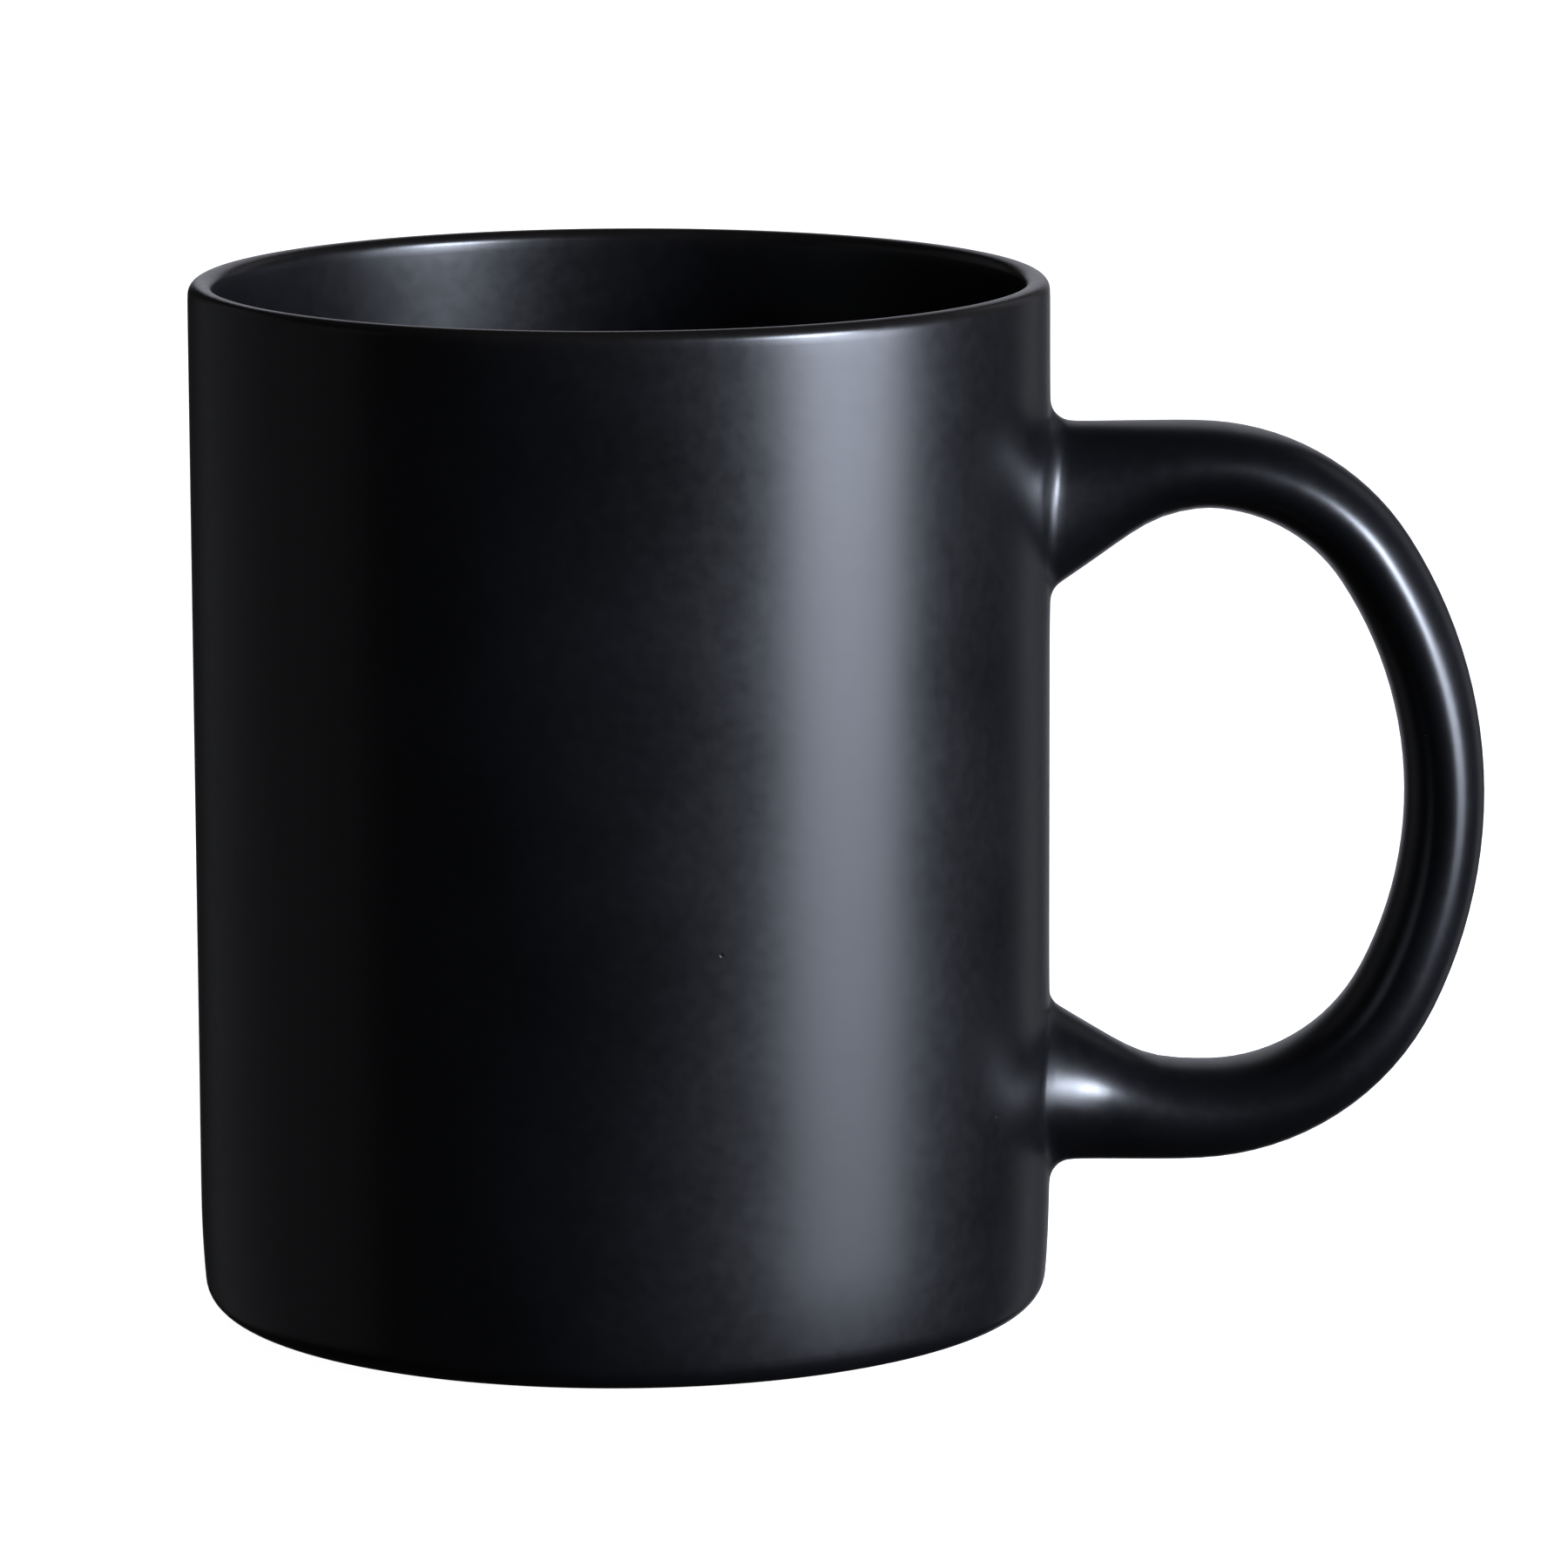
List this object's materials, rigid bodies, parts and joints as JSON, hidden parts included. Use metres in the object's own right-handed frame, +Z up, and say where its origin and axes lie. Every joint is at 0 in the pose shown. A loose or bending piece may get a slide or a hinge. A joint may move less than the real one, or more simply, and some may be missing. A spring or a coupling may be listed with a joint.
{
  "type": "mug",
  "caption": "Straight-sided stoneware mug with a rounded rim, a D-shaped side handle and a satin matte black glaze over a bare foot ring.",
  "frame": {"origin": "centre of the foot ring, on the surface that the mug stands on", "axes": "+Z up along the cup's axis, out of the mouth; +X from the axis towards the handle; +Y across the handle"},
  "size_m": [0.1238, 0.082, 0.0995],
  "materials": {
    "matte_black_glaze": "satin matte black stoneware glaze, roughness about 0.35, faintly mottled",
    "bare_stoneware": "fired, unglazed, dry and slightly gritty",
    "fired_slip": "fired slip, smooth and dry"
  },
  "bodies": {
    "root": {"stoneware_cup": "bare_stoneware", "handle": "bare_stoneware", "upper_handle_slip": "fired_slip", "lower_handle_slip": "fired_slip", "outer_glaze": "matte_black_glaze", "liner_glaze": "matte_black_glaze", "base_glaze": "matte_black_glaze"}
  },
  "joints": []
}
